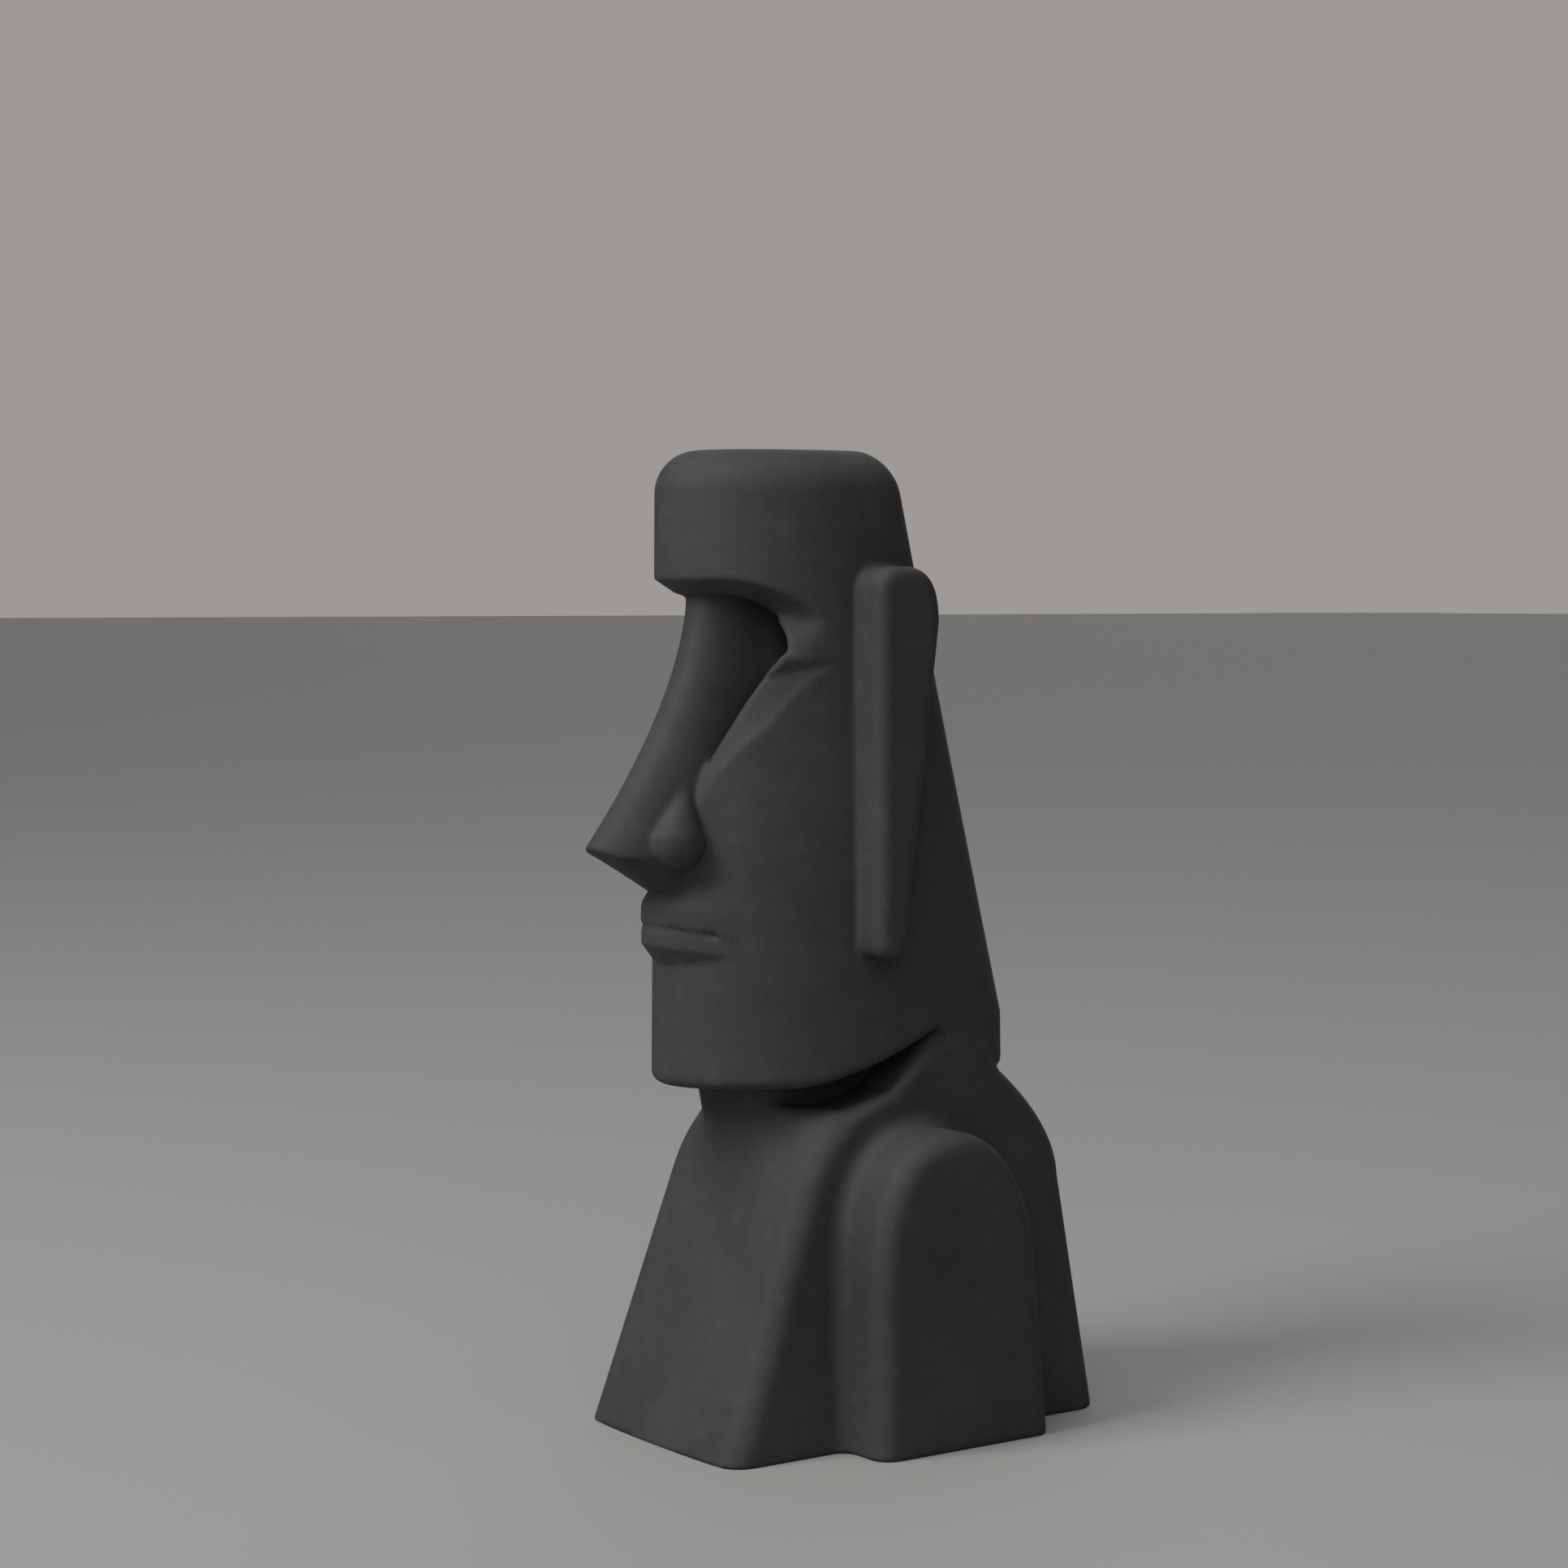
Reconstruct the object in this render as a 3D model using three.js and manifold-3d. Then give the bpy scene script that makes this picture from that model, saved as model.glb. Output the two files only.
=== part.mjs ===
import * as THREE from 'three';
import { mergeVertices } from 'three/addons/utils/BufferGeometryUtils.js';
import Module from 'manifold-3d';

// Small matte charcoal copy of a moai: head, neck, chest and arms cast as one solid.
// Millimetres, +Z up. The face looks along -Y and the origin is under the middle of the figure.

// Whole figure
const height = 120;
const baseFront = -19;
const baseBack = 38.2;

// Trunk
const trunkHalfWidth = 16.3;
const trunkTaper = 0.045;
const chestSlope = 0.355;
const shoulderStart = 31;
const shoulderRise = 18;
const shoulderSetback = 14.8;
const backSlope = 0.155;
const backShoulderStart = 30;
const backShoulderDepth = 8.8;
const napeTuck = 0.6;
const chestEdgeRadius = 3;
const backEdgeRadius = 5;
const chestBulge = 0.5;

// Neck
const neckHalfWidth = 12;
const neckFront = -11.6;
const neckRecess = 6;
const neckBack = 26;

// Head
const jawHeight = 43.5;
const jawRiseStart = -6;
const jawRiseEnd = 13.5;
const jawRise = 6.2;
const napeSeat = 4;
const jawEdgeRadius = 1.4;
const crownRadius = 5;
const crownHalfWidth = 13.2;
const jawHalfWidth = 14.5;
const browFront = -17;
const chinFront = -17.8;
const crownBack = 10;
const headBackSlope = 0.262;
const napeBack = 28.2;
const crownWidest = 2;
const jawWidest = 8;
const faceRoundness = 2;
const napeRoundness = 3;

// Eye sockets
const browHeight = 104.5;
const browArcStart = 7;
const socketCornerX = 13.1;
const socketCornerZ = 94.7;
const cheekLineX = 5.3;
const cheekLineZ = 79;
const browBevel = 2.4;
const cheekBevel = 2.6;
const bevelDepth = 0.1;
const socketDepth = 0.42;
const socketInnerX = -0.6;

// Nose
const noseRootHeight = 102;
const noseRootFront = -13.7;
const noseTipFront = -28;
const noseTipHeight = 72.6;
const noseBaseFront = -17.2;
const noseBaseHeight = 66;
const noseRootHalfWidth = 3.1;
const noseTipHalfWidth = 4.7;
const noseSweep = 1.6;
const nostrilX = 4.5;
const nostrilY = -18.4;
const nostrilZ = 75.6;
const nostrilHalfWidth = 2.3;
const nostrilHalfDepth = 3.6;
const nostrilHalfHeight = 5.2;
const nostrilTilt = 25;

// Lips
const mouthHeight = 63;
const mouthHalfWidth = 7.6;
const lipProud = 1.9;
const mouthGroove = 0.9;
const upperLipHeight = 3.2;
const lowerLipHeight = 5.2;

// Ears
const earFront = 1.1;
const earBack = 10.6;
const earLobeBack = 5.7;
const earTop = 106;
const earBottom = 59;
const earOuterX = 18.4;
const earEdgeRadius = 1.5;
const earCornerRadius = 3.4;

// Arms
const armFront = -2.3;
const armBack = 24.6;
const armTop = 38.3;
const armBackLean = 4.4;
const armOuterX = 23.6;
const armEdgeRadius = 2.6;
const armShoulder = 16;

// Fineness of the faceting
const ringSteps = 64;
const trunkCornerSteps = 6;
const sculptSteps = 24;
const slabSteps = 56;

const wasm = await Module();
wasm.setup();

const lerp = THREE.MathUtils.lerp;
const clamp = THREE.MathUtils.clamp;

// A closed solid through rings of equal length, from the lowest ring to the highest.
function loft(rings) {
  const count = rings[0].length;
  const positions = [];
  const triangles = [];
  for (const ring of rings) {
    for (const point of ring) positions.push(point.x, point.y, point.z);
  }
  for (let level = 0; level < rings.length - 1; level += 1) {
    for (let i = 0; i < count; i += 1) {
      const a = level * count + i;
      const b = level * count + (i + 1) % count;
      triangles.push(a, b, b + count, a, b + count, a + count);
    }
  }
  for (const [level, turned] of [[0, true], [rings.length - 1, false]]) {
    const middle = new THREE.Vector3();
    for (const point of rings[level]) middle.addScaledVector(point, 1 / count);
    const centre = positions.length / 3;
    positions.push(middle.x, middle.y, middle.z);
    for (let i = 0; i < count; i += 1) {
      const a = level * count + i;
      const b = level * count + (i + 1) % count;
      triangles.push(...(turned ? [centre, b, a] : [centre, a, b]));
    }
  }
  const geometry = new THREE.BufferGeometry();
  geometry.setAttribute('position', new THREE.Float32BufferAttribute(positions, 3));
  geometry.setIndex(triangles);
  return geometry;
}

function toSolid(geometry) {
  const bare = geometry.clone();
  bare.deleteAttribute('normal');
  bare.deleteAttribute('uv');
  const merged = mergeVertices(bare, 1e-4);
  return new wasm.Manifold(new wasm.Mesh({
    numProp: 3,
    vertProperties: new Float32Array(merged.attributes.position.array),
    triVerts: new Uint32Array(merged.index.array),
  }));
}

function toGeometry(solid) {
  const mesh = solid.getMesh();
  const geometry = new THREE.BufferGeometry();
  geometry.setAttribute('position', new THREE.BufferAttribute(mesh.vertProperties, 3));
  geometry.setIndex(new THREE.BufferAttribute(mesh.triVerts, 1));
  geometry.computeVertexNormals();
  return geometry;
}

// Signed power, for superellipses.
const bow = (value, power) => Math.sign(value) * Math.abs(value) ** power;

// Plan of the head at one height: a long ellipse for the face and a squarer nape.
function headPlan(z) {
  const share = clamp((height - z) / (height - jawHeight), 0, 1);
  const slopedBack = crownBack + (height - z) * headBackSlope;
  return {
    halfWidth: lerp(crownHalfWidth, jawHalfWidth, share),
    front: lerp(browFront, chinFront, share),
    back: Math.min(slopedBack, napeBack),
    widest: lerp(crownWidest, jawWidest, share),
  };
}

function headPoint(plan, angle, inset) {
  const side = Math.sin(angle);
  const along = Math.cos(angle);
  const power = along > 0 ? 2 / faceRoundness : 2 / napeRoundness;
  const reach = along > 0 ? plan.widest - plan.front : plan.back - plan.widest;
  return new THREE.Vector2(
    bow(side, power) * (plan.halfWidth - inset),
    plan.widest - bow(along, power) * (reach - inset),
  );
}

// Underside of the jaw: level in front, rising to the crease's end, then down into the shoulders.
function jawUnderside(y) {
  const share = clamp((y - jawRiseStart) / (jawRiseEnd - jawRiseStart), 0, 1);
  const seated = clamp((y - jawRiseEnd) / napeSeat, 0, 1);
  return jawHeight + jawRise * share ** 1.5 * (1 - seated);
}

function headRing(z, inset, jawShare) {
  const plan = headPlan(z);
  const ring = [];
  for (let i = 0; i < ringSteps; i += 1) {
    const flat = headPoint(plan, (i / ringSteps) * 2 * Math.PI, inset);
    const lifted = z + (jawUnderside(flat.y) - jawHeight) * jawShare;
    ring.push(new THREE.Vector3(flat.x, flat.y, lifted));
  }
  return ring;
}

function makeHead() {
  const rings = [];
  const edgeTurns = 3;
  for (let i = 0; i <= edgeTurns; i += 1) {
    const turn = (i / edgeTurns) * Math.PI / 2;
    const inset = jawEdgeRadius * (1 - Math.sin(turn));
    rings.push(headRing(jawHeight + jawEdgeRadius * (1 - Math.cos(turn)), inset, 1));
  }
  const levels = 9;
  const wallFoot = jawHeight + jawEdgeRadius;
  const wallTop = height - crownRadius;
  for (let i = 1; i <= levels; i += 1) {
    const share = i / levels;
    rings.push(headRing(lerp(wallFoot, wallTop, share), 0, Math.max(0, 1 - share * 3)));
  }
  const crownTurns = 5;
  for (let i = 1; i <= crownTurns; i += 1) {
    const turn = (i / crownTurns) * Math.PI / 2;
    rings.push(headRing(wallTop + crownRadius * Math.sin(turn), crownRadius * (1 - Math.cos(turn)), 0));
  }
  return loft(rings);
}

// Rounded rectangle in plan, with a slight bulge of its front.
function trunkRing(z) {
  const lift = Math.max(0, z - shoulderStart) / shoulderRise;
  const front = baseFront + chestSlope * z + shoulderSetback * lift ** 2.34;
  const backShare = clamp((z - backShoulderStart) / (jawHeight - backShoulderStart), 0, 1);
  const tucked = napeTuck * Math.max(0, z - jawHeight);
  const shoulderBack = baseBack - backSlope * Math.min(z, backShoulderStart);
  const back = shoulderBack - backShoulderDepth * backShare ** 1.35 - tucked;
  const halfWidth = trunkHalfWidth - trunkTaper * z;
  const ring = [];
  const corners = [
    { side: 1, y: front, radius: chestEdgeRadius, inward: 1, start: -90 },
    { side: 1, y: back, radius: backEdgeRadius, inward: -1, start: 0 },
    { side: -1, y: back, radius: backEdgeRadius, inward: -1, start: 90 },
    { side: -1, y: front, radius: chestEdgeRadius, inward: 1, start: 180 },
  ];
  for (const corner of corners) {
    const radius = Math.min(corner.radius, (back - front) / 2.1);
    const centreX = corner.side * (halfWidth - radius);
    const centreY = corner.y + corner.inward * radius;
    for (let i = 0; i <= trunkCornerSteps; i += 1) {
      const angle = THREE.MathUtils.degToRad(corner.start + (i / trunkCornerSteps) * 90);
      const x = centreX + radius * Math.cos(angle);
      ring.push(new THREE.Vector3(x, centreY + radius * Math.sin(angle), z));
    }
  }
  const bulgeSteps = 7;
  for (let i = 1; i < bulgeSteps; i += 1) {
    const share = (i / bulgeSteps) * 2 - 1;
    const x = share * (halfWidth - Math.min(chestEdgeRadius, (back - front) / 2.1));
    ring.push(new THREE.Vector3(x, front - chestBulge * (1 - share * share), z));
  }
  return ring;
}

function makeTrunk() {
  const rings = [];
  const levels = 22;
  const top = jawHeight + jawRise + 1;
  for (let i = 0; i <= levels; i += 1) {
    const share = i / levels;
    rings.push(trunkRing(top * (1 - (1 - share) ** 1.5)));
  }
  return loft(rings);
}

// Horizontal oval with its own front and back, for the neck, nose and lips.
function oval(z, halfWidth, front, back) {
  const ring = [];
  const middle = (front + back) / 2;
  for (let i = 0; i < sculptSteps; i += 1) {
    const angle = (i / sculptSteps) * 2 * Math.PI;
    const y = middle + (back - middle) * Math.sin(angle);
    ring.push(new THREE.Vector3(halfWidth * Math.cos(angle), y, z));
  }
  return ring;
}

function makeNeck() {
  const rings = [];
  const levels = 8;
  const foot = shoulderStart - 4;
  for (let i = 0; i <= levels; i += 1) {
    const share = i / levels;
    const front = neckFront + neckRecess * (1 - share) ** 2;
    rings.push(oval(lerp(foot, jawHeight + jawRise, share), neckHalfWidth, front, neckBack));
  }
  return loft(rings);
}

// Eye socket: a bevelled opening in the face, with a deep floor. Outline points are [x, z].
function socketOutline(inset) {
  const points = [];
  const arcSteps = 10;
  const cornerX = socketCornerX - cheekBevel * inset;
  const cornerZ = socketCornerZ + 0.3 * inset;
  const topZ = browHeight - browBevel * inset;
  const startX = browArcStart - inset;
  const lowX = cheekLineX - 0.4 * inset;
  const lowZ = cheekLineZ + cheekBevel * inset;
  points.push([socketInnerX, topZ]);
  for (let i = 0; i <= arcSteps; i += 1) {
    const turn = (i / arcSteps) * Math.PI / 2;
    const x = lerp(startX, cornerX, Math.sin(turn) ** 0.92);
    points.push([x, cornerZ + (topZ - cornerZ) * Math.cos(turn) ** 0.92]);
  }
  for (let i = 1; i <= arcSteps; i += 1) {
    points.push([lerp(cornerX, lowX, i / arcSteps), lerp(cornerZ, lowZ, i / arcSteps)]);
  }
  points.push([socketInnerX, lowZ - 1]);
  return points;
}

function makeSocketCutter(side) {
  const layers = [
    { inset: -0.6, depth: -0.6 * bevelDepth },
    { inset: 1, depth: bevelDepth },
    { inset: 1.1, depth: socketDepth },
  ];
  const rings = layers.map(({ inset, depth }) => socketOutline(inset).map(([x, z]) => {
    const plan = headPlan(z);
    const share = Math.min(1, x / plan.halfWidth);
    const y = plan.widest - (plan.widest - plan.front) * Math.sqrt(1 - share * share);
    const scale = 1 - depth;
    return new THREE.Vector3(side * x * scale, plan.widest + (y - plan.widest) * scale, z);
  }));
  rings.unshift(rings[0].map((point) => point.clone().setY(2 * browFront)));
  return loft(side > 0 ? rings : rings.map((ring) => ring.reverse()));
}

function makeNose() {
  const rings = [];
  const levels = 14;
  const top = noseRootHeight + 1;
  for (let i = 0; i <= levels; i += 1) {
    const z = lerp(noseBaseHeight, top, i / levels);
    const share = clamp((noseRootHeight - z) / (noseRootHeight - noseTipHeight), 0, 1.2);
    const halfWidth = lerp(noseRootHalfWidth, noseTipHalfWidth, Math.min(share, 1));
    const front = noseRootFront + (noseTipFront - noseRootFront) * share ** noseSweep;
    rings.push(oval(z, halfWidth, front, front + halfWidth * 5));
  }
  const bridge = toSolid(loft(rings));
  const slope = (noseTipHeight - noseBaseHeight) / (noseBaseFront - noseTipFront);
  const reach = noseTipFront * 2;
  const under = new THREE.Shape([
    new THREE.Vector2(noseBaseFront + 2, noseBaseHeight - 2 * slope),
    new THREE.Vector2(reach, noseBaseHeight + (noseBaseFront - reach) * slope),
    new THREE.Vector2(reach, 0),
    new THREE.Vector2(noseBaseFront + 2, 0),
  ]);
  const wedge = new THREE.ExtrudeGeometry(under, { depth: 4 * noseTipHalfWidth, bevelEnabled: false });
  wedge.translate(0, 0, -2 * noseTipHalfWidth);
  // The outline's own axes x, y and its depth become Y, Z and X.
  wedge.applyMatrix4(new THREE.Matrix4().set(0, 0, 1, 0, 1, 0, 0, 0, 0, 1, 0, 0, 0, 0, 0, 1));
  return bridge.subtract(toSolid(wedge));
}

function makeNostril(side) {
  const geometry = new THREE.SphereGeometry(1, 18, 10);
  geometry.scale(nostrilHalfWidth, nostrilHalfDepth, nostrilHalfHeight);
  geometry.rotateX(THREE.MathUtils.degToRad(-nostrilTilt));
  geometry.translate(side * nostrilX, nostrilY, nostrilZ);
  return geometry;
}

// Lips: one swell that follows the face, waisted along the line of the mouth.
function makeLips() {
  const rings = [];
  const levels = 12;
  for (let i = 0; i <= levels; i += 1) {
    const z = lerp(mouthHeight - lowerLipHeight, mouthHeight + upperLipHeight, i / levels);
    const lipHeight = z > mouthHeight ? upperLipHeight : lowerLipHeight;
    const away = Math.abs(z - mouthHeight) / lipHeight;
    const swell = Math.sqrt(Math.max(0, 1 - away ** 2.2));
    const groove = mouthGroove * Math.max(0, 1 - away * lipHeight);
    const plan = headPlan(z);
    const front = plan.front - lipProud * swell + groove;
    const halfWidth = mouthHalfWidth * (0.35 + 0.65 * swell) - groove / 2;
    rings.push(oval(z, halfWidth, front, front + 11));
  }
  return loft(rings);
}

// A slab along X with an outline in the Y-Z plane, rounded around its outer face.
function makeSlab(shape, innerX, outerX, edgeRadius) {
  const outline = shape.getSpacedPoints(slabSteps).slice(0, -1);
  const inward = outline.map((point, i) => {
    const before = outline[(i + slabSteps - 1) % slabSteps];
    const after = outline[(i + 1) % slabSteps];
    return new THREE.Vector2(before.y - after.y, after.x - before.x).normalize();
  });
  const ringAt = (x, inset) => outline.map((point, i) => {
    const moved = point.clone().addScaledVector(inward[i], inset);
    return new THREE.Vector3(x, moved.x, moved.y);
  });
  const rings = [ringAt(innerX, 0)];
  const edgeTurns = 4;
  for (let i = 0; i <= edgeTurns; i += 1) {
    const turn = (i / edgeTurns) * Math.PI / 2;
    rings.push(ringAt(outerX - edgeRadius * (1 - Math.sin(turn)), edgeRadius * (1 - Math.cos(turn))));
  }
  return loft(rings);
}

// Long ear: a round-topped slab that narrows to its lobe.
function makeEar() {
  const shape = new THREE.Shape();
  const low = (earLobeBack - earFront) / 2;
  shape.moveTo(earFront, earBottom + low);
  shape.quadraticCurveTo(earFront, earBottom, earFront + low, earBottom);
  shape.quadraticCurveTo(earLobeBack, earBottom, earLobeBack + 0.15, earBottom + low);
  shape.lineTo(earBack, earTop - earCornerRadius * 2);
  shape.quadraticCurveTo(earBack + 0.1, earTop, earBack - earCornerRadius * 1.4, earTop);
  shape.lineTo(earFront + earCornerRadius, earTop);
  shape.quadraticCurveTo(earFront, earTop, earFront, earTop - earCornerRadius);
  shape.lineTo(earFront, earBottom + low);
  return makeSlab(shape, crownHalfWidth - 4, earOuterX, earEdgeRadius);
}

// Arm: an arch-topped slab that stands on the base.
function makeArm() {
  const shape = new THREE.Shape();
  const springing = armTop - armShoulder;
  const middle = (armFront + armBack - armBackLean) / 2;
  const springBack = armBack - armBackLean * 0.6;
  const foot = -2 * armEdgeRadius;
  shape.moveTo(armFront, foot);
  shape.lineTo(armBack, foot);
  shape.lineTo(springBack, springing);
  shape.bezierCurveTo(springBack - 1, springing + 9, middle + 7.5, armTop, middle, armTop);
  shape.bezierCurveTo(middle - 7, armTop, armFront, springing + 10, armFront, springing);
  shape.lineTo(armFront, foot);
  return makeSlab(shape, trunkHalfWidth - 5, armOuterX, armEdgeRadius);
}

function mirrored(geometry) {
  const copy = geometry.clone().applyMatrix4(new THREE.Matrix4().makeScale(-1, 1, 1));
  const order = copy.index.array;
  for (let i = 0; i < order.length; i += 3) {
    [order[i], order[i + 1]] = [order[i + 1], order[i]];
  }
  return copy;
}

let figure = toSolid(makeHead());
for (const side of [1, -1]) figure = figure.subtract(toSolid(makeSocketCutter(side)));
figure = figure.add(toSolid(makeNeck())).add(toSolid(makeTrunk())).add(makeNose()).add(toSolid(makeLips()));
for (const side of [1, -1]) figure = figure.add(toSolid(makeNostril(side)));
for (const limb of [makeEar(), makeArm()]) {
  figure = figure.add(toSolid(limb)).add(toSolid(mirrored(limb)));
}

const floorBlock = new THREE.BoxGeometry(4 * armOuterX, 4 * baseBack, height);
floorBlock.translate(0, 0, -height / 2);
figure = figure.subtract(toSolid(floorBlock));

const figureGeometry = toGeometry(figure);
figureGeometry.computeBoundingBox();
const box = figureGeometry.boundingBox;
figureGeometry.translate(0, -(box.min.y + box.max.y) / 2, 0);

const charcoal = new THREE.MeshStandardMaterial({ color: 0x3c3c3f, roughness: 0.85, metalness: 0 });
const moai = new THREE.Mesh(figureGeometry, charcoal);
moai.name = 'moai_figure';

const group = new THREE.Group();
group.add(moai);

export default group;
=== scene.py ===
import math

import bpy
import numpy as np
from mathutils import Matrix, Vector


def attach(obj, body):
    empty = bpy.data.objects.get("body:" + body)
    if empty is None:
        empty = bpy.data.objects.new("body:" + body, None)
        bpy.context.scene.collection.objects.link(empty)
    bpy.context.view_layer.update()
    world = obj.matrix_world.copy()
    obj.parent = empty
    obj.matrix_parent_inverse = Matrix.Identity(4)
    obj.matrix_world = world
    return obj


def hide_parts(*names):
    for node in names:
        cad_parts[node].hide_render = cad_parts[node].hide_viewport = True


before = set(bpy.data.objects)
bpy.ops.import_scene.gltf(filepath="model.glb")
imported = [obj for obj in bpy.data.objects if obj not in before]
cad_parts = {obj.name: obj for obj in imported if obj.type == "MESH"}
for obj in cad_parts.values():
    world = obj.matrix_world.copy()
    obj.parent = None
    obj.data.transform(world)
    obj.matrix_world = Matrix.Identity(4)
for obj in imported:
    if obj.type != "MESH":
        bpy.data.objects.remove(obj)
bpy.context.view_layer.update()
print("frame loaded")

mm = 0.001
# middle of the solid in the modelling frame, which the part's source moves to the origin
middleY = 5.1


# small field helpers, all in millimetres: a value below 0 is inside

# limits that keep divisions safe, and a square longer than any distance here
leastShare = 1e-4
leastSlope = 1e-3
leastRise = 1e-9
leastSquare = 1e-12
farSquare = 1e9


def lerp(low, high, share):
    return low + (high - low) * share


def shareBetween(low, high, value):
    return np.clip((value - low) / (high - low), 0, 1)


def ramp(low, high, value):
    share = shareBetween(low, high, value)
    return share * share * (3 - 2 * share)


def rampAt(place, offsets, value):
    # a ramp between two offsets from a place
    return ramp(place + offsets[0], place + offsets[1], value)


def bell(value, half):
    # 1 at a line, fading away on both sides of it
    return np.exp(-(value / half) ** 2)


def crest(share, power):
    # 1 in the middle, falling to 0 at a share of 1
    return np.cos(np.clip(share, 0, 1) * math.pi / 2) ** power


def meet(a, b, radius):
    # inside both, with the edge between them rounded
    outer = np.hypot(np.maximum(a + radius, 0), np.maximum(b + radius, 0))
    return np.minimum(np.maximum(a + radius, b + radius), 0) + outer - radius


def join(a, b, radius):
    # inside either, with a fillet in the corner
    return -meet(-a, -b, radius)


def ellipse(u, v, halfU, halfV, power=2.0):
    # share of the way out to a superellipse, and about the distance to it
    pu = np.abs(u / halfU)
    pv = np.abs(v / halfV)
    share = np.maximum((pu ** power + pv ** power) ** (1 / power), leastShare)
    slope = np.hypot(pu ** (power - 1) / halfU, pv ** (power - 1) / halfV)
    slope = np.maximum(slope / share ** (power - 1), leastSlope)
    return share, (share - 1) / slope


def polygon(points, u, v):
    # signed distance to a closed outline
    nearest = np.full(np.broadcast(u, v).shape, farSquare)
    crossings = np.zeros(nearest.shape, dtype=bool)
    for i, (ax, ay) in enumerate(points):
        bx, by = points[i - 1]
        ex, ey = bx - ax, by - ay
        square = ex * ex + ey * ey + leastSquare
        along = np.clip(((u - ax) * ex + (v - ay) * ey) / square, 0, 1)
        nearest = np.minimum(nearest, (u - ax - ex * along) ** 2 + (v - ay - ey * along) ** 2)
        if abs(ey) > leastRise:
            crossings ^= ((v < ay) != (v < by)) & (u < ax + (v - ay) * ex / ey)
    return np.sqrt(nearest) * np.where(crossings, -1, 1)


def curve(start, *controls, steps=14):
    # points of a Bezier curve of any order, without its start
    points = []
    for i in range(1, steps + 1):
        t = i / steps
        row = [start, *controls]
        while len(row) > 1:
            row = [(lerp(a[0], b[0], t), lerp(a[1], b[1], t)) for a, b in zip(row, row[1:])]
        points.append(row[0])
    return points


# the head

head = {
    "height": 120.0,
    "jawHeight": 43.5,
    "jawRiseStart": -6.0,
    "jawRiseEnd": 13.5,
    "jawRise": 6.2,
    "jawRisePower": 1.5,
    "napeSeat": 4.0,
    "jawEdge": 1.4,
    "crownEdge": 5.2,
    "crownHalfWidth": 13.2,
    "jawHalfWidth": 14.5,
    "browFront": -17.0,
    "chinFront": -17.8,
    "crownBack": 10.0,
    "backSlope": 0.262,
    "napeBack": 28.2,
    "backPower": 3.3,
    "crownWidest": 2.0,
    "jawWidest": 8.0,
    "seatFillet": 0.3,
}


def headPlan(z):
    share = np.clip((head["height"] - z) / (head["height"] - head["jawHeight"]), 0, 1)
    sloped = head["crownBack"] + (head["height"] - z) * head["backSlope"]
    return {
        "halfWidth": lerp(head["crownHalfWidth"], head["jawHalfWidth"], share),
        "front": lerp(head["browFront"], head["chinFront"], share),
        "back": np.minimum(sloped, head["napeBack"]),
        "widest": lerp(head["crownWidest"], head["jawWidest"], share),
    }


def headWall(x, y, z):
    plan = headPlan(z)
    ahead = y - plan["widest"]
    shareFront, wallFront = ellipse(x, ahead, plan["halfWidth"], plan["widest"] - plan["front"])
    behind = plan["back"] - plan["widest"]
    _, wallBack = ellipse(x, ahead, plan["halfWidth"], behind, head["backPower"])
    isFront = ahead < 0
    return isFront, shareFront, np.where(isFront, wallFront, wallBack)


def jawUnderside(y):
    share = shareBetween(head["jawRiseStart"], head["jawRiseEnd"], y)
    seated = np.clip((y - head["jawRiseEnd"]) / head["napeSeat"], 0, 1)
    return head["jawHeight"] + head["jawRise"] * share ** head["jawRisePower"] * (1 - seated)


# eye sockets: bevels that sink from the brow and the cheek, and a deep floor

socket = {
    "shareLimits": (0.4, 1.1),
    "browHeight": 104.5,
    "browArcStart": 7.0,
    "browCornerX": 12.8,
    "browCornerZ": 99.3,
    "browReturn": 8.0,
    "returnSlope": 0.35,
    "turnBand": (-2.6, 0.4),
    "closeHeight": 95.2,
    "closeFrom": (10.6, 0.62),
    "closeTo": (12.8, 0.18),
    "closeFree": 2.0,
    "browSlopeLead": 1.0,
    "browSlopeMiddle": 1.5,
    "browSlopeOuter": 1.7,
    "browEdge": 0.12,
    "cheekLow": (5.6, 79.2),
    "cheekMiddle": (10.8, 86.8),
    "cheekHigh": (13.8, 94.9),
    "cheekSlopeLow": 0.5,
    "cheekSlopeHigh": 0.38,
    "cheekEdge": 0.15,
    "cheekFade": (0.2, -0.5),
    "ledgeSlope": 0.45,
    "rimProud": 0.42,
    "rimHalf": 0.45,
    "rimEnds": (80.5, 83.5),
    "rimTopFade": (0.7, 0.1),
    "rimOuterX": 13.6,
    "rimOuterFade": (0.0, -0.9),
    "ledgeInnerX": 11.9,
    "ledgeInnerFade": (0.0, 1.2),
    "shelfShare": 0.6,
    "hollowTop": 102.6,
    "hollowArcStart": 5.0,
    "hollowPower": 2.15,
    "hollowCorner": (11.4, 95.9),
    "hollowLow": (4.3, 80.7),
    "hollowDepth": 8.5,
    "hollowFloorEdge": 1.0,
    "hollowEdge": 0.5,
}


def hollowArch(x, z):
    # below 0 under the deep floor's top: level in the middle and falling to an outer corner
    s = socket
    cornerX, cornerZ = s["hollowCorner"]
    across = np.maximum(x - s["hollowArcStart"], 0)
    up = np.maximum(z - cornerZ, 0)
    halfWidth, height = cornerX - s["hollowArcStart"], s["hollowTop"] - cornerZ
    _, rounded = ellipse(across, up, halfWidth, height, s["hollowPower"])
    square = np.maximum(x - cornerX, z - s["hollowTop"])
    return np.where((across > 0) & (up > 0), rounded, square)


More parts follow.
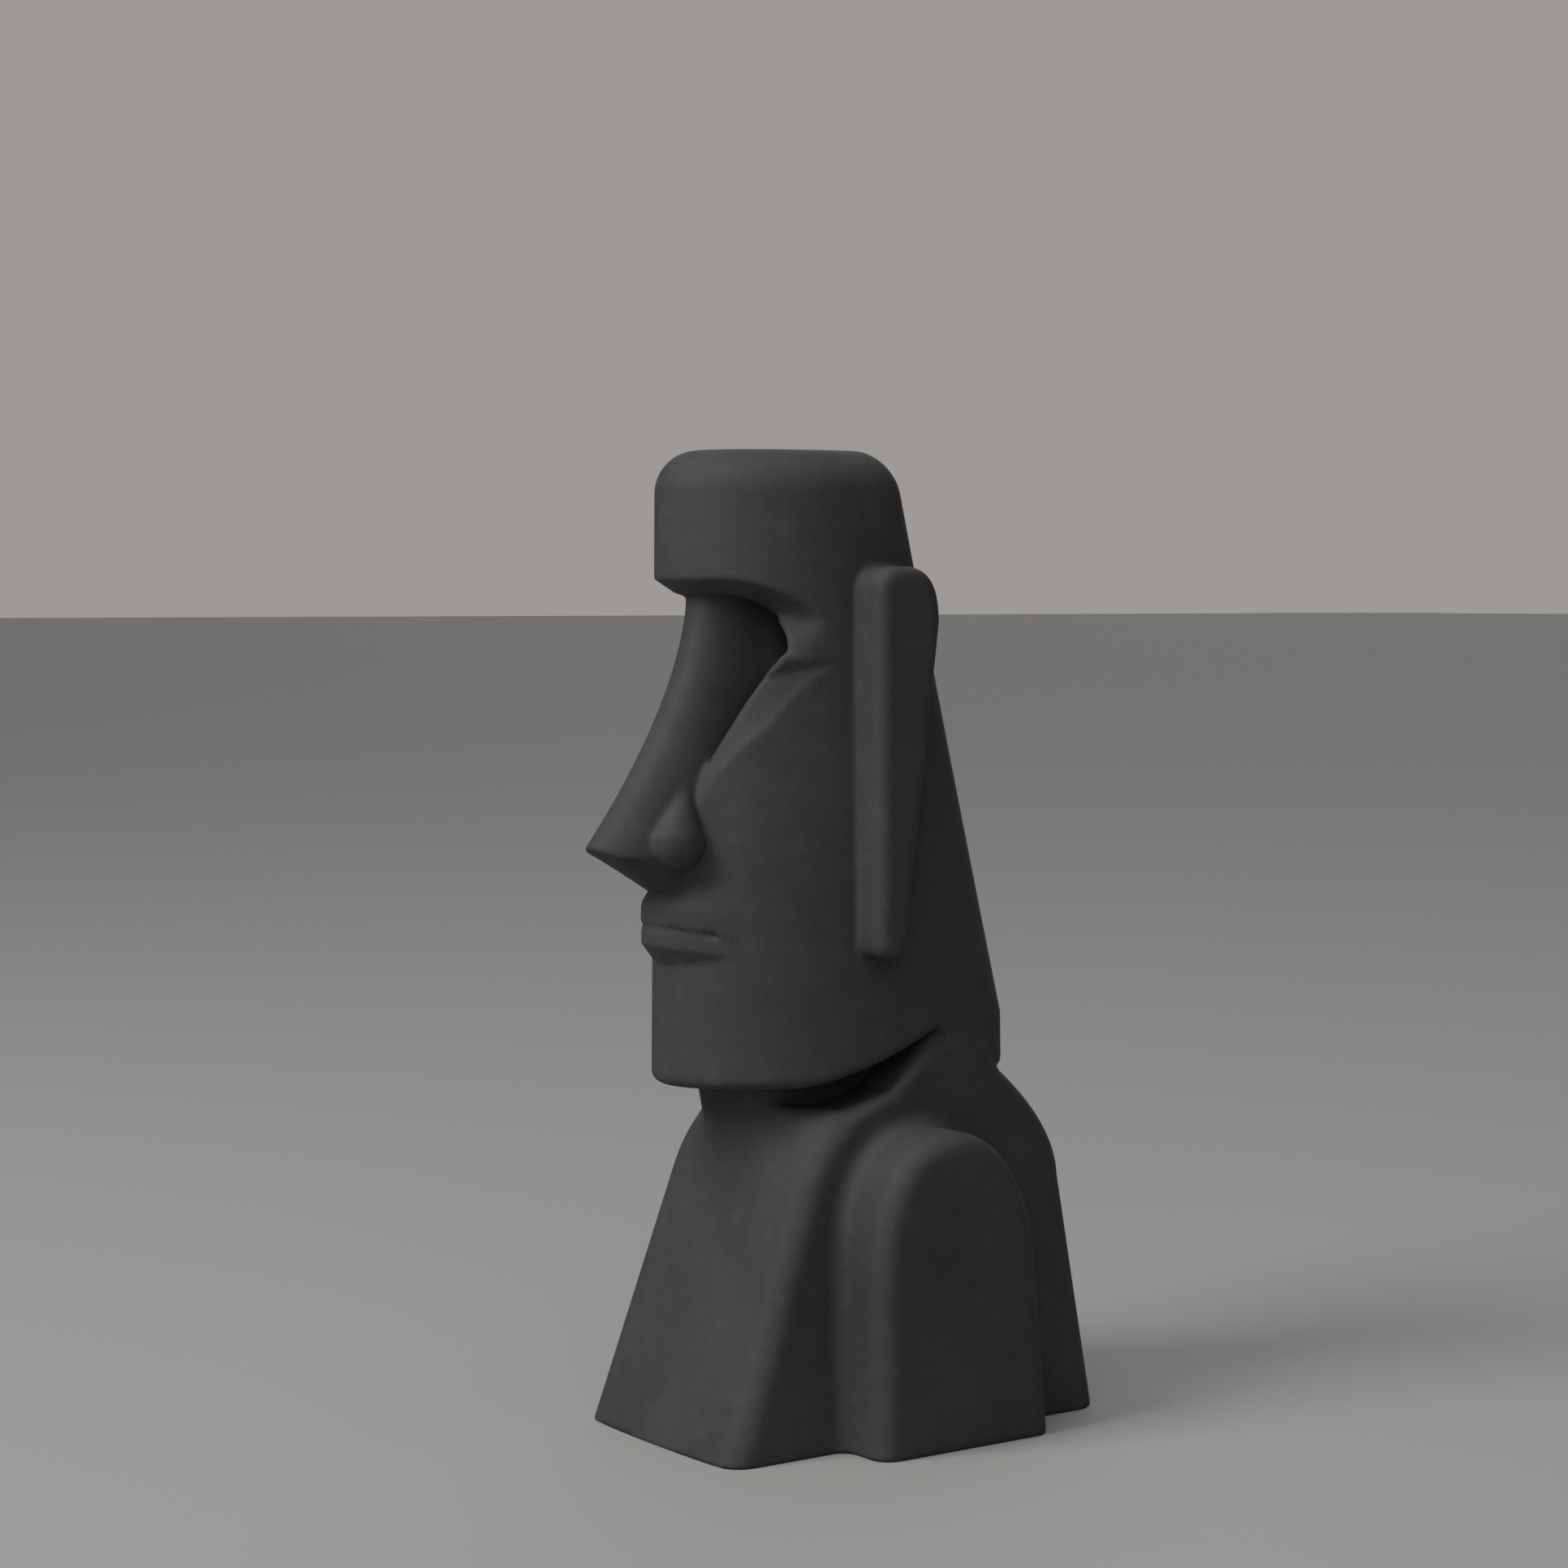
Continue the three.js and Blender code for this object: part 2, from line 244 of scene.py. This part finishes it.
def browArch(x, z):
    # the same under the brow, turning back in below its outer corner
    s = socket
    across = np.maximum(x - s["browArcStart"], 0)
    up = z - s["browCornerZ"]
    reach = np.where(up > 0, s["browHeight"] - s["browCornerZ"], s["browReturn"])
    _, rounded = ellipse(across, up, s["browCornerX"] - s["browArcStart"], reach)
    return np.where(across > 0, rounded, np.abs(up) - reach)


def lineSide(x, z, low, high):
    # below 0 on the inner and upper side of a line that rises outwards
    dx, dz = high[0] - low[0], high[1] - low[1]
    return ((x - low[0]) * dz - (z - low[1]) * dx) / math.hypot(dx, dz)


def sink(side, edge):
    # how far in from an edge, with the edge rounded
    return (np.sqrt(side * side + edge * edge) - side) / 2


def carveSockets(x, z, isFront, share, wall):
    s = socket
    spread = np.abs(x) / np.clip(share, *s["shareLimits"])
    outward = ramp(s["browArcStart"] - s["browSlopeLead"], s["browCornerX"], spread)
    turned = lerp(s["returnSlope"], 1, ramp(*s["turnBand"], z - s["browCornerZ"]))
    browSlope = lerp(s["browSlopeMiddle"], s["browSlopeOuter"], outward) * turned
    browSink = sink(browArch(spread, z), s["browEdge"]) * browSlope
    # a shallow facet leads from the end of the brow's underside down to the ledge
    (innerX, innerSlope), (outerX, outerSlope) = s["closeFrom"], s["closeTo"]
    closeSlope = lerp(innerSlope, outerSlope, shareBetween(innerX, outerX, spread))
    closeSlope = closeSlope + s["closeFree"] * np.maximum(innerX - spread, 0)
    underBrow = wall + np.minimum(browSink, np.maximum(z - s["closeHeight"], 0) * closeSlope)
    # the bevel above the cheek, closed at its top by a ledge
    cheek = np.maximum(
        lineSide(spread, z, s["cheekLow"], s["cheekMiddle"]),
        lineSide(spread, z, s["cheekMiddle"], s["cheekHigh"]),
    )
    ledge = z - s["cheekHigh"][1]
    upward = ramp(s["cheekLow"][1], s["cheekHigh"][1], z)
    cheekSink = sink(cheek, s["cheekEdge"]) * lerp(s["cheekSlopeLow"], s["cheekSlopeHigh"], upward)
    cheekSink = np.minimum(cheekSink, sink(ledge, s["cheekEdge"]) * s["ledgeSlope"])
    cheekSink = cheekSink * rampAt(s["rimOuterX"], s["cheekFade"], spread)
    # a slightly raised rim along both edges
    rim = bell(cheek, s["rimHalf"]) * ramp(*s["rimEnds"], z) * ramp(*s["rimTopFade"], ledge)
    shelf = bell(ledge, s["rimHalf"]) * rampAt(s["ledgeInnerX"], s["ledgeInnerFade"], spread)
    raised = np.maximum(rim, s["shelfShare"] * shelf)
    raised = raised * rampAt(s["rimOuterX"], s["rimOuterFade"], spread)
    bevelled = wall + cheekSink - s["rimProud"] * raised
    # the deep floor between them
    hollowSide = lineSide(spread, z, s["hollowLow"], s["hollowCorner"])
    hollow = np.maximum(hollowArch(spread, z), hollowSide)
    hollow = meet(hollow, -(wall + s["hollowDepth"]), s["hollowFloorEdge"])
    carved = meet(np.maximum(bevelled, underBrow), -hollow, s["hollowEdge"])
    return np.where(isFront, carved, wall)


# nose and lips

nose = {
    "rootHeight": 102.0,
    "rootOverlap": 3.0,
    "rootFront": -13.6,
    "tipFront": -28.15,
    "tipHeight": 72.6,
    "baseFront": -17.2,
    "baseHeight": 65.7,
    "rootHalfWidth": 3.6,
    "tipHalfWidth": 4.7,
    "sweep": 1.6,
    "sweepReach": 1.2,
    "lengthInPlan": 2.5,
    "rootPower": 3.0,
    "tipPower": 2.2,
    "underEdge": 0.4,
    "keelRise": 0.85,
    "keelPower": 2.5,
    "keelReach": 1.1,
    "wingTop": (3.6, -16.9, 79.4),
    "wingTopRadius": 0.7,
    "wingLow": (4.5, -18.4, 73.4),
    "wingLowRadius": 3.5,
    "wingFlatness": 0.76,
    "wingFillet": 0.4,
    "faceFillet": 0.4,
}


def noseBridge(x, y, z):
    n = nose
    length = n["rootHeight"] - n["tipHeight"]
    share = np.clip((n["rootHeight"] - z) / length, 0, n["sweepReach"])
    halfWidth = lerp(n["rootHalfWidth"], n["tipHalfWidth"], np.minimum(share, 1))
    front = n["rootFront"] + (n["tipFront"] - n["rootFront"]) * share ** n["sweep"]
    depth = halfWidth * n["lengthInPlan"]
    power = lerp(n["rootPower"], n["tipPower"], np.minimum(share, 1))
    _, bridge = ellipse(x, y - front - depth, halfWidth, depth, power)
    slope = (n["tipHeight"] - n["baseHeight"]) / (n["baseFront"] - n["tipFront"])
    plane = n["baseHeight"] + (n["baseFront"] - y) * slope
    # the underside is lowest along its middle, and its sides rise almost to the tip's height
    rise = np.maximum(n["tipHeight"] - plane, 0) * n["keelRise"]
    spread = np.clip(np.abs(x) / halfWidth, 0, n["keelReach"])
    under = plane + rise * spread ** n["keelPower"] - z
    bridge = meet(bridge, under / math.hypot(1, slope), n["underEdge"])
    return np.maximum(bridge, z - n["rootHeight"] - n["rootOverlap"])


def noseWing(x, y, z):
    # a drop: thin at its top and round at its foot, flattened sideways
    n = nose
    top, low = np.array(n["wingTop"]), np.array(n["wingLow"])
    scale = np.array([n["wingFlatness"], 1, 1])
    axis = (low - top) / scale
    px, py, pz = (np.abs(x) - top[0]) / scale[0], y - top[1], z - top[2]
    along = np.clip((px * axis[0] + py * axis[1] + pz * axis[2]) / (axis @ axis), 0, 1)
    away = np.sqrt(
        (px - axis[0] * along) ** 2 + (py - axis[1] * along) ** 2 + (pz - axis[2] * along) ** 2
    )
    return (away - lerp(n["wingTopRadius"], n["wingLowRadius"], along)) * n["wingFlatness"]


lips = {
    "lineHeight": 63.0,
    "upperHalfWidth": 9.0,
    "upperPower": 1.2,
    "lowerHalfWidth": 7.8,
    "lowerOverhang": 0.8,
    "lowerPower": 1.3,
    "proud": 2.15,
    "droop": 0.8,
    "upperTop": 5.6,
    "upperFull": 2.2,
    "lowerFull": 2.2,
    "underside": 2.6,
    "undersideLeast": 0.05,
    "lineDepth": 0.38,
    "lineHalf": 0.3,
    "lineFade": (0.8, -0.4),
    "cornerX": 6.7,
    "cornerDepth": 0.4,
    "cornerHalf": 0.55,
}


def lipSwell(x, z):
    p = lips
    spread = np.abs(x)
    up = z - p["lineHeight"] + p["droop"] * (spread / p["cornerX"]) ** 2
    # the upper lip is one soft swelling under the nose
    upper = crest(spread / p["upperHalfWidth"], p["upperPower"])
    upper = upper * ramp(p["upperTop"], p["upperFull"], up)
    # the lower lip is a band, and its sloping underside is tallest in the middle
    opened = np.clip(1 - (spread / p["lowerHalfWidth"]) ** 2, p["undersideLeast"], 1)
    lower = np.clip(1 + (up + p["lowerFull"]) / (p["underside"] * opened), 0, 1)
    lower = lower * crest(spread / (p["lowerHalfWidth"] + p["lowerOverhang"]), p["lowerPower"])
    swell = np.where(up > 0, upper, np.minimum(lower, upper))
    # a thin line between them, with a dimple at each corner
    line = bell(up, p["lineHalf"]) * rampAt(p["cornerX"], p["lineFade"], spread)
    fromCorner = ((spread - p["cornerX"]) ** 2 + up ** 2) / p["cornerHalf"] ** 2
    return p["proud"] * swell - p["lineDepth"] * line - p["cornerDepth"] * np.exp(-fromCorner)


# ears and arms: slabs with an outline in the Y-Z plane and a rounded outer edge

ear = {
    "front": 1.1,
    "back": 10.6,
    "lobeBack": 5.7,
    "lobeLean": 0.15,
    "backLean": 0.1,
    "top": 106.0,
    "bottom": 59.0,
    "outerX": 18.4,
    "edge": 1.7,
    "corner": 3.4,
    "backCornerDrop": 2.0,
    "backCornerRun": 1.4,
    "fillet": 0.5,
}


def earOutline():
    e = ear
    front, back, top, bottom, corner = e["front"], e["back"], e["top"], e["bottom"], e["corner"]
    low = (e["lobeBack"] - front) / 2
    lobeEnd = (e["lobeBack"] + e["lobeLean"], bottom + low)
    topEnd = (back - corner * e["backCornerRun"], top)
    points = [(front, bottom + low)]
    points += curve(points[-1], (front, bottom), (front + low, bottom))
    points += curve(points[-1], (e["lobeBack"], bottom), lobeEnd)
    points.append((back, top - corner * e["backCornerDrop"]))
    points += curve(points[-1], (back + e["backLean"], top), topEnd)
    points.append((front + corner, top))
    points += curve(points[-1], (front, top), (front, top - corner))
    return points


arm = {
    "front": -2.3,
    "back": 24.6,
    "top": 38.3,
    "foot": -6.0,
    "backLean": 4.4,
    "leanAtSpringing": 0.6,
    "outerX": 23.6,
    "edge": 2.7,
    "shoulder": 16.0,
    "backPull": (-1.0, 9.0),
    "backRound": 7.5,
    "frontRound": 7.0,
    "frontPull": 10.0,
    "fillet": 2.0,
}


def armOutline():
    a = arm
    front, back, top, foot = a["front"], a["back"], a["top"], a["foot"]
    springing = top - a["shoulder"]
    middle = (front + back - a["backLean"]) / 2
    springBack = back - a["backLean"] * a["leanAtSpringing"]
    backPull = (springBack + a["backPull"][0], springing + a["backPull"][1])
    frontPull = (front, springing + a["frontPull"])
    points = [(front, foot), (back, foot), (springBack, springing)]
    points += curve(points[-1], backPull, (middle + a["backRound"], top), (middle, top))
    points += curve(points[-1], (middle - a["frontRound"], top), frontPull, (front, springing))
    return points


# trunk and neck

trunk = {
    "front": -19.0,
    "back": 38.2,
    "halfWidth": 16.3,
    "taper": 0.045,
    "chestSlope": 0.355,
    "shoulderStart": 31.0,
    "shoulderRise": 18.0,
    "shoulderSetback": 14.8,
    "shoulderPower": 2.34,
    "backSlope": 0.155,
    "backShoulderStart": 30.0,
    "backShoulderDepth": 8.8,
    "backShoulderPower": 1.8,
    "napeTuck": 0.6,
    "chestEdge": 3.0,
    "backEdge": 4.4,
    "chestBulge": 0.5,
    "footEdge": 0.4,
    "topOverlap": 1.0,
}


def trunkWall(x, y, z):
    t = trunk
    lift = np.maximum(0, z - t["shoulderStart"]) / t["shoulderRise"]
    front = t["front"] + t["chestSlope"] * z + t["shoulderSetback"] * lift ** t["shoulderPower"]
    steep = t["shoulderSetback"] * t["shoulderPower"] / t["shoulderRise"]
    steep = steep * lift ** (t["shoulderPower"] - 1)
    backShare = shareBetween(t["backShoulderStart"], head["jawHeight"], z)
    back = t["back"] - t["backSlope"] * np.minimum(z, t["backShoulderStart"])
    back = back - t["backShoulderDepth"] * backShare ** t["backShoulderPower"]
    back = back - t["napeTuck"] * np.maximum(0, z - head["jawHeight"])
    halfWidth = t["halfWidth"] - t["taper"] * z
    bulge = t["chestBulge"] * np.clip(1 - (x / (halfWidth - t["chestEdge"])) ** 2, 0, 1)
    chest = (front - bulge - y) / np.hypot(1, t["chestSlope"] + steep)
    rear = y - back
    side = np.abs(x) - halfWidth
    wall = np.maximum(meet(side, chest, t["chestEdge"]), meet(side, rear, t["backEdge"]))
    return np.maximum(wall, z - head["jawHeight"] - head["jawRise"] - t["topOverlap"])


crease = {
    "gap": 3.9,
    "front": -14.0,
    "fullFrom": 0.0,
    "fullTo": 6.0,
    "end": 13.1,
    "innerX": 7.0,
    "overlap": 0.5,
    "edge": 1.6,
}


def creaseGap(x, y, z):
    # the dark wedge between the jaw and the shoulder
    c = crease
    top = jawUnderside(y)
    opening = shareBetween(c["front"], c["fullFrom"], y)
    closing = shareBetween(c["end"], c["fullTo"], y)
    floor = top - c["gap"] * opening * closing
    slab = np.maximum(z - top - c["overlap"], floor - z)
    return np.maximum(slab, np.maximum(c["innerX"] - np.abs(x), y - c["end"]))


neck = {
    "halfWidth": 12.0,
    "front": -11.7,
    "recess": 6.0,
    "footOverlap": 4.0,
    "back": 26.0,
    "fillet": 4.0,
}


def neckWall(x, y, z):
    foot = trunk["shoulderStart"] - neck["footOverlap"]
    top = head["jawHeight"] + head["jawRise"]
    share = shareBetween(foot, top, z)
    front = neck["front"] + neck["recess"] * (1 - share) ** 2
    middle = (front + neck["back"]) / 2
    _, wall = ellipse(x, y - middle, neck["halfWidth"], neck["back"] - middle)
    return np.maximum(wall, np.maximum(foot - z, z - top))


earPoints = earOutline()
armPoints = armOutline()


def figureField(x, y, z):
    isFront, share, wall = headWall(x, y, z)
    face = np.where(isFront, wall - lipSwell(x, z), wall)
    carved = carveSockets(x, z, isFront, share, face)
    skull = meet(carved, z - head["height"], head["crownEdge"])
    skull = meet(skull, jawUnderside(y) - z, head["jawEdge"])
    snout = join(noseBridge(x, y, z), noseWing(x, y, z), nose["wingFillet"])
    skull = join(skull, snout, nose["faceFillet"])
    ears = meet(polygon(earPoints, y, z), np.abs(x) - ear["outerX"], ear["edge"])
    skull = join(skull, ears, ear["fillet"])
    arms = meet(polygon(armPoints, y, z), np.abs(x) - arm["outerX"], arm["edge"])
    body = join(trunkWall(x, y, z), arms, arm["fillet"])
    body = join(body, neckWall(x, y, z), neck["fillet"])
    body = meet(body, -creaseGap(x, y, z), crease["edge"])
    whole = join(skull, body, head["seatFillet"])
    return meet(whole, -z, trunk["footEdge"])


# field to mesh

grid = {
    "step": 0.515,
    "low": (-24.72, -29.6, -1.2),
    "high": (24.72, 39.6, 121.2),
    "settlingPasses": 3,
    "longestMove": 0.25,
    "nudge": 0.04,
    "flattest": 0.2,
}


def surfaceNet(values, low, step):
    # one point in each cell that the surface crosses, one quad for each crossed grid edge
    cells = tuple(n - 1 for n in values.shape)
    sums = np.zeros(cells + (3,))
    counts = np.zeros(cells, dtype=np.int32)
    quads = []
    for axis in range(3):
        below = [slice(None)] * 3
        above = [slice(None)] * 3
        below[axis] = slice(0, -1)
        above[axis] = slice(1, None)
        first, second = values[tuple(below)], values[tuple(above)]
        crossed = np.argwhere((first < 0) != (second < 0))
        start = first[tuple(crossed.T)]
        end = second[tuple(crossed.T)]
        point = crossed.astype(float)
        point[:, axis] += start / (start - end)
        corners = []
        for stepU, stepV in ((0, 0), (-1, 0), (-1, -1), (0, -1)):
            cell = crossed.copy()
            cell[:, (axis + 1) % 3] += stepU
            cell[:, (axis + 2) % 3] += stepV
            np.add.at(sums, tuple(cell.T), point)
            np.add.at(counts, tuple(cell.T), 1)
            corners.append(cell)
        around = np.stack(corners, axis=1)
        around[start >= 0] = around[start >= 0][:, ::-1]
        quads.append(around)
    numbers = np.full(cells, -1)
    used = counts > 0
    numbers[used] = np.arange(used.sum())
    points = sums[used] / counts[used][:, None] * step + np.array(low)
    around = np.concatenate(quads)
    return points, numbers[around[..., 0], around[..., 1], around[..., 2]]


def settle(points):
    # moves each point along the field's slope until it lies on the surface
    nudge = grid["nudge"]
    for _ in range(grid["settlingPasses"]):
        here = figureField(*points.T)
        slope = np.empty_like(points)
        for axis in range(3):
            shift = np.zeros(3)
            shift[axis] = nudge
            ahead = figureField(*(points + shift).T)
            behind = figureField(*(points - shift).T)
            slope[:, axis] = (ahead - behind) / (2 * nudge)
        size = np.maximum((slope ** 2).sum(axis=1), grid["flattest"])
        move = np.clip(here / size, -grid["longestMove"], grid["longestMove"])
        points = points - slope * move[:, None]
    return points


def sampleField():
    step = grid["step"]
    axes = [np.arange(lo, hi + step, step) for lo, hi in zip(grid["low"], grid["high"])]
    return figureField(axes[0][:, None, None], axes[1][None, :, None], axes[2][None, None, :])


def makeFigure():
    points, quads = surfaceNet(sampleField(), grid["low"], grid["step"])
    print("figure net:", len(points), "points,", 2 * len(quads), "triangles")
    points = settle(points)
    points[:, 1] -= middleY
    mesh = bpy.data.meshes.new("moaiFigure")
    mesh.from_pydata((points * mm).tolist(), [], quads.tolist())
    mesh.validate()
    mesh.shade_smooth()
    piece = bpy.data.objects.new("moaiFigure", mesh)
    bpy.context.collection.objects.link(piece)
    return piece


figure = makeFigure()
print("figure made")


# material: charcoal plastic

class Wire:
    # an output socket that arithmetic can be written with
    def __init__(self, tree, socket):
        self.tree = tree
        self.socket = socket

    def feed(self, entry):
        self.tree.links.new(self.socket, entry)

    def node(self, kind, settings, values, output=0):
        made = self.tree.nodes.new(kind)
        for name, value in settings.items():
            setattr(made, name, value)
        for name, value in values.items():
            if isinstance(value, Wire):
                value.feed(made.inputs[name])
            else:
                made.inputs[name].default_value = value
        return Wire(self.tree, made.outputs[output])

    def maths(self, operation, first, second):
        return self.node("ShaderNodeMath", {"operation": operation}, {0: first, 1: second})

    def __add__(self, other):
        return self.maths("ADD", self, other)

    def __radd__(self, other):
        return self.maths("ADD", other, self)

    def __sub__(self, other):
        return self.maths("SUBTRACT", self, other)

    def __rsub__(self, other):
        return self.maths("SUBTRACT", other, self)

    def __mul__(self, other):
        return self.maths("MULTIPLY", self, other)

    def __rmul__(self, other):
        return self.maths("MULTIPLY", other, self)


plastic = {
    "dark": (0.037, 0.037, 0.039, 1),
    "light": (0.05, 0.05, 0.052, 1),
    "dust": (0.085, 0.084, 0.082, 1),
    "cloud": (70.0, 3),
    "mottle": (420.0, 4),
    "grain": (2600.0, 2),
    "toneShares": (0.5, 0.35, 0.15),
    "toneMiddle": 0.38,
    "toneContrast": 4.0,
    "dustStart": 0.6,
    "dustShare": 0.8,
    "roughness": 0.7,
    "roughnessSwing": 0.16,
    "grainHeight": 0.00004,
    "mottleRelief": 0.6,
    "coarseUnderside": 2.5,
}


def makePlastic():
    p = plastic
    material = bpy.data.materials.new("charcoalPlastic")
    material.use_nodes = True
    tree = material.node_tree
    shader = tree.nodes["Principled BSDF"]
    coordinates = tree.nodes.new("ShaderNodeTexCoord")
    place = Wire(tree, coordinates.outputs["Object"])
    facing = Wire(tree, coordinates.outputs["Normal"])

    def noise(scale, detail):
        values = {"Vector": place, "Scale": scale, "Detail": detail}
        return place.node("ShaderNodeTexNoise", {}, values)

    def blend(share, first, second):
        # the Mix node's colours go in at 6 and 7 and come out at 2
        values = {0: share, 6: first, 7: second}
        return place.node("ShaderNodeMix", {"data_type": "RGBA"}, values, 2)

    cloud = noise(*p["cloud"])
    mottle = noise(*p["mottle"])
    grain = noise(*p["grain"])
    cloudShare, mottleShare, grainShare = p["toneShares"]
    tone = cloud * cloudShare + mottle * mottleShare + grain * grainShare
    colour = blend((tone - p["toneMiddle"]) * p["toneContrast"], p["dark"], p["light"])
    colour = blend((mottle - p["dustStart"]) * p["dustShare"], colour, p["dust"])
    # surfaces that face down are a little rougher
    up = facing.node("ShaderNodeSeparateXYZ", {}, {"Vector": facing}, "Z")
    down = up.node("ShaderNodeClamp", {}, {"Value": 0 - up})
    relief = (grain + mottle * p["mottleRelief"]) * (down * p["coarseUnderside"] + 1)
    heights = {"Height": relief, "Distance": p["grainHeight"], "Strength": 1.0}
    bump = relief.node("ShaderNodeBump", {}, heights)
    colour.feed(shader.inputs["Base Color"])
    (tone * p["roughnessSwing"] + p["roughness"]).feed(shader.inputs["Roughness"])
    bump.feed(shader.inputs["Normal"])
    return material


figure.data.materials.append(makePlastic())
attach(figure, "root")
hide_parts("moai_figure")
print("material made")


# stage, lights and camera

room = {
    "floorSize": 30.0,
    "floorColour": (0.34, 0.333, 0.32, 1),
    "floorRoughness": 0.9,
    "worldColour": (0.75, 0.78, 0.82, 1),
    "worldStrength": 0.06,
    "wallColour": (0.39, 0.36, 0.335, 1),
}


def makeStage():
    mesh = bpy.data.meshes.new("floor")
    half = room["floorSize"] / 2
    corners = [(-half, -half, 0), (half, -half, 0), (half, half, 0), (-half, half, 0)]
    mesh.from_pydata(corners, [], [(0, 1, 2, 3)])
    floor = bpy.data.objects.new("floor", mesh)
    bpy.context.collection.objects.link(floor)
    material = bpy.data.materials.new("palePaper")
    material.use_nodes = True
    paper = material.node_tree.nodes["Principled BSDF"]
    paper.inputs["Base Color"].default_value = room["floorColour"]
    paper.inputs["Roughness"].default_value = room["floorRoughness"]
    mesh.materials.append(material)
    world = bpy.data.worlds.new("paleRoom")
    world.use_nodes = True
    nodes, links = world.node_tree.nodes, world.node_tree.links
    glow = nodes["Background"]
    glow.inputs["Color"].default_value = room["worldColour"]
    glow.inputs["Strength"].default_value = room["worldStrength"]
    # the camera sees a pale wall, while the figure gets only a faint glow from it
    wall = nodes.new("ShaderNodeBackground")
    wall.inputs["Color"].default_value = room["wallColour"]
    path = nodes.new("ShaderNodeLightPath")
    mix = nodes.new("ShaderNodeMixShader")
    links.new(path.outputs["Is Camera Ray"], mix.inputs["Fac"])
    links.new(glow.outputs["Background"], mix.inputs[1])
    links.new(wall.outputs["Background"], mix.inputs[2])
    links.new(mix.outputs["Shader"], nodes["World Output"].inputs["Surface"])
    bpy.context.scene.world = world


lightTarget = (0, 0, 0.06)
lamps = [
    {
        "name": "window",
        "at": (-0.03, -0.65, 0.6),
        "size": 0.35,
        "power": 5.4,
        "colour": (1, 0.99, 0.97),
    },
    {
        "name": "fill",
        "at": (0.95, -0.6, 0.6),
        "size": 1.0,
        "power": 4.0,
        "colour": (0.97, 0.98, 1),
    },
]
skies = [
    {"name": "daylight", "at": (0.1, -0.15, 1.3), "angle": 60.0, "strength": 0.95},
    {"name": "rear", "at": (-0.75, 0.8, 0.6), "angle": 50.0, "strength": 0.5},
]


def makeLight(name, kind, at):
    light = bpy.data.lights.new(name, kind)
    holder = bpy.data.objects.new(name, light)
    holder.location = at
    aim = Vector(lightTarget) - Vector(at)
    holder.rotation_euler = aim.to_track_quat("-Z", "Y").to_euler()
    bpy.context.collection.objects.link(holder)
    return light


def makeLights():
    for lamp in lamps:
        light = makeLight(lamp["name"], "AREA", lamp["at"])
        light.size = lamp["size"]
        light.energy = lamp["power"]
        light.color = lamp["colour"]
    # even soft light for the whole floor and for the figure's back
    for sky in skies:
        light = makeLight(sky["name"], "SUN", sky["at"])
        light.energy = sky["strength"]
        light.angle = math.radians(sky["angle"])


view = {
    "azimuth": 55.0,
    "distance": 412.0,
    "height": 102.4,
    "downTilt": 3.195,
    "focal": 4138.0,
    "photoWidth": 1932.0,
    "sensor": 36.0,
    "clipStart": 0.01,
}


def makeCamera():
    turn = math.radians(view["azimuth"])
    data = bpy.data.cameras.new("camera")
    data.sensor_width = view["sensor"]
    data.lens = view["focal"] / view["photoWidth"] * view["sensor"]
    data.clip_start = view["clipStart"]
    camera = bpy.data.objects.new("camera", data)
    reach = view["distance"] * mm
    ahead = reach * math.cos(turn) + middleY * mm
    camera.location = (reach * math.sin(turn), -ahead, view["height"] * mm)
    camera.rotation_euler = (math.radians(90 - view["downTilt"]), 0, turn)
    bpy.context.collection.objects.link(camera)
    bpy.context.scene.camera = camera


makeStage()
makeLights()
makeCamera()
print("stage, lights and camera made")
